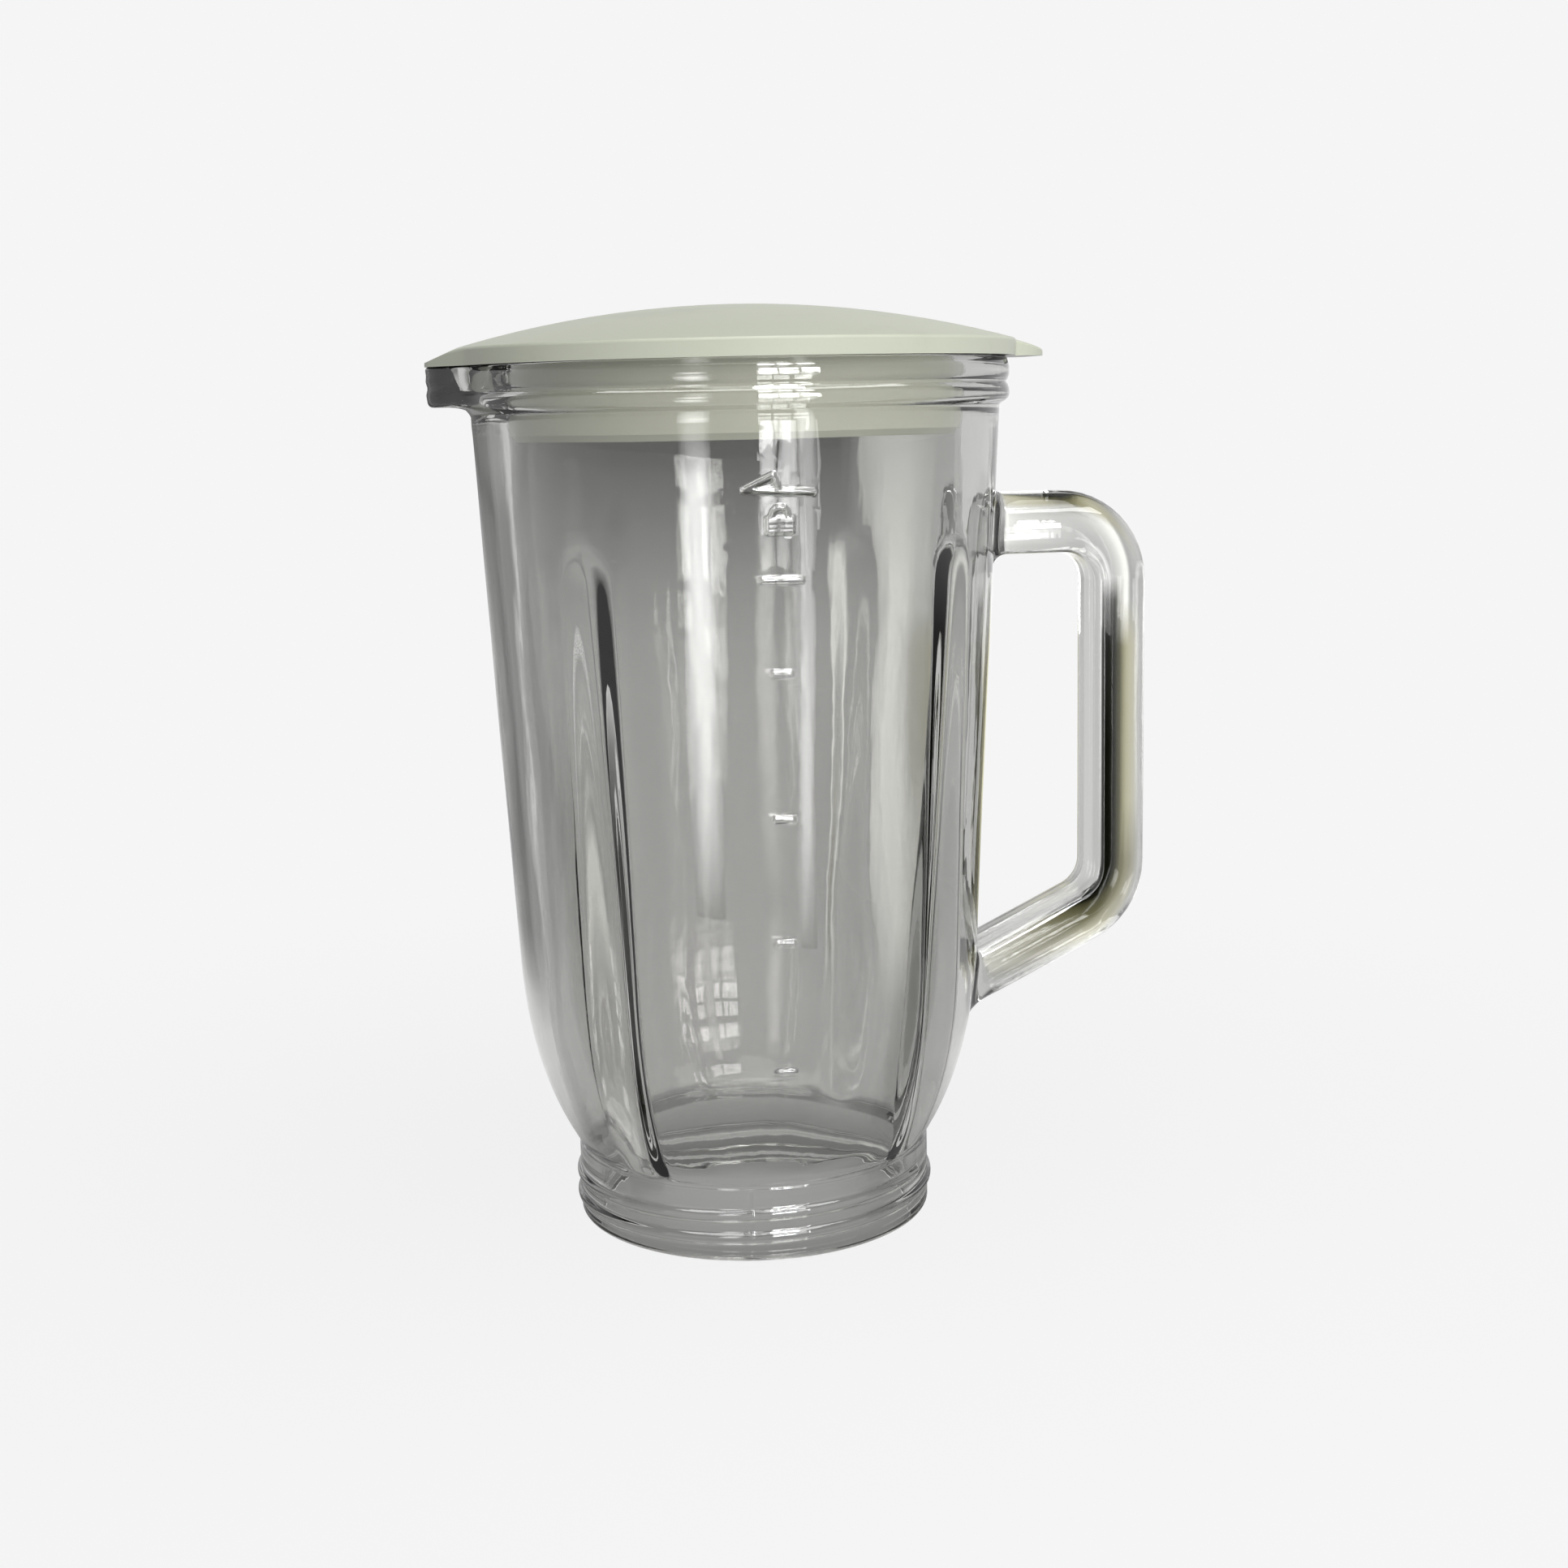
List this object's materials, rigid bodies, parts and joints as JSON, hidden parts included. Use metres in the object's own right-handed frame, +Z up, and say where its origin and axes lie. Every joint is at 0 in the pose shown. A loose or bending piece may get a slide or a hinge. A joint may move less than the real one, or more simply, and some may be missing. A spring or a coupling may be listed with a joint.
{
  "type": "blender jar",
  "caption": "Clear pressed-glass blender jar with side handle, pouring lip, inner mixing ribs and a threaded open collar at the foot, closed by a domed press-in plastic lid.",
  "frame": {"origin": "on the jar's axis, in the plane of its foot", "axes": "+Z up along the jar's axis, +X towards the handle, -X towards the pouring lip, -Y towards the measuring scale"},
  "size_m": [0.1661, 0.1258, 0.2095],
  "materials": {
    "clear_glass": "fire-polished pressed soda-lime glass",
    "ivory_plastic": "satin moulded polyethylene"
  },
  "bodies": {
    "root": {"glass_jar": "clear_glass", "lid": "ivory_plastic"}
  },
  "joints": []
}
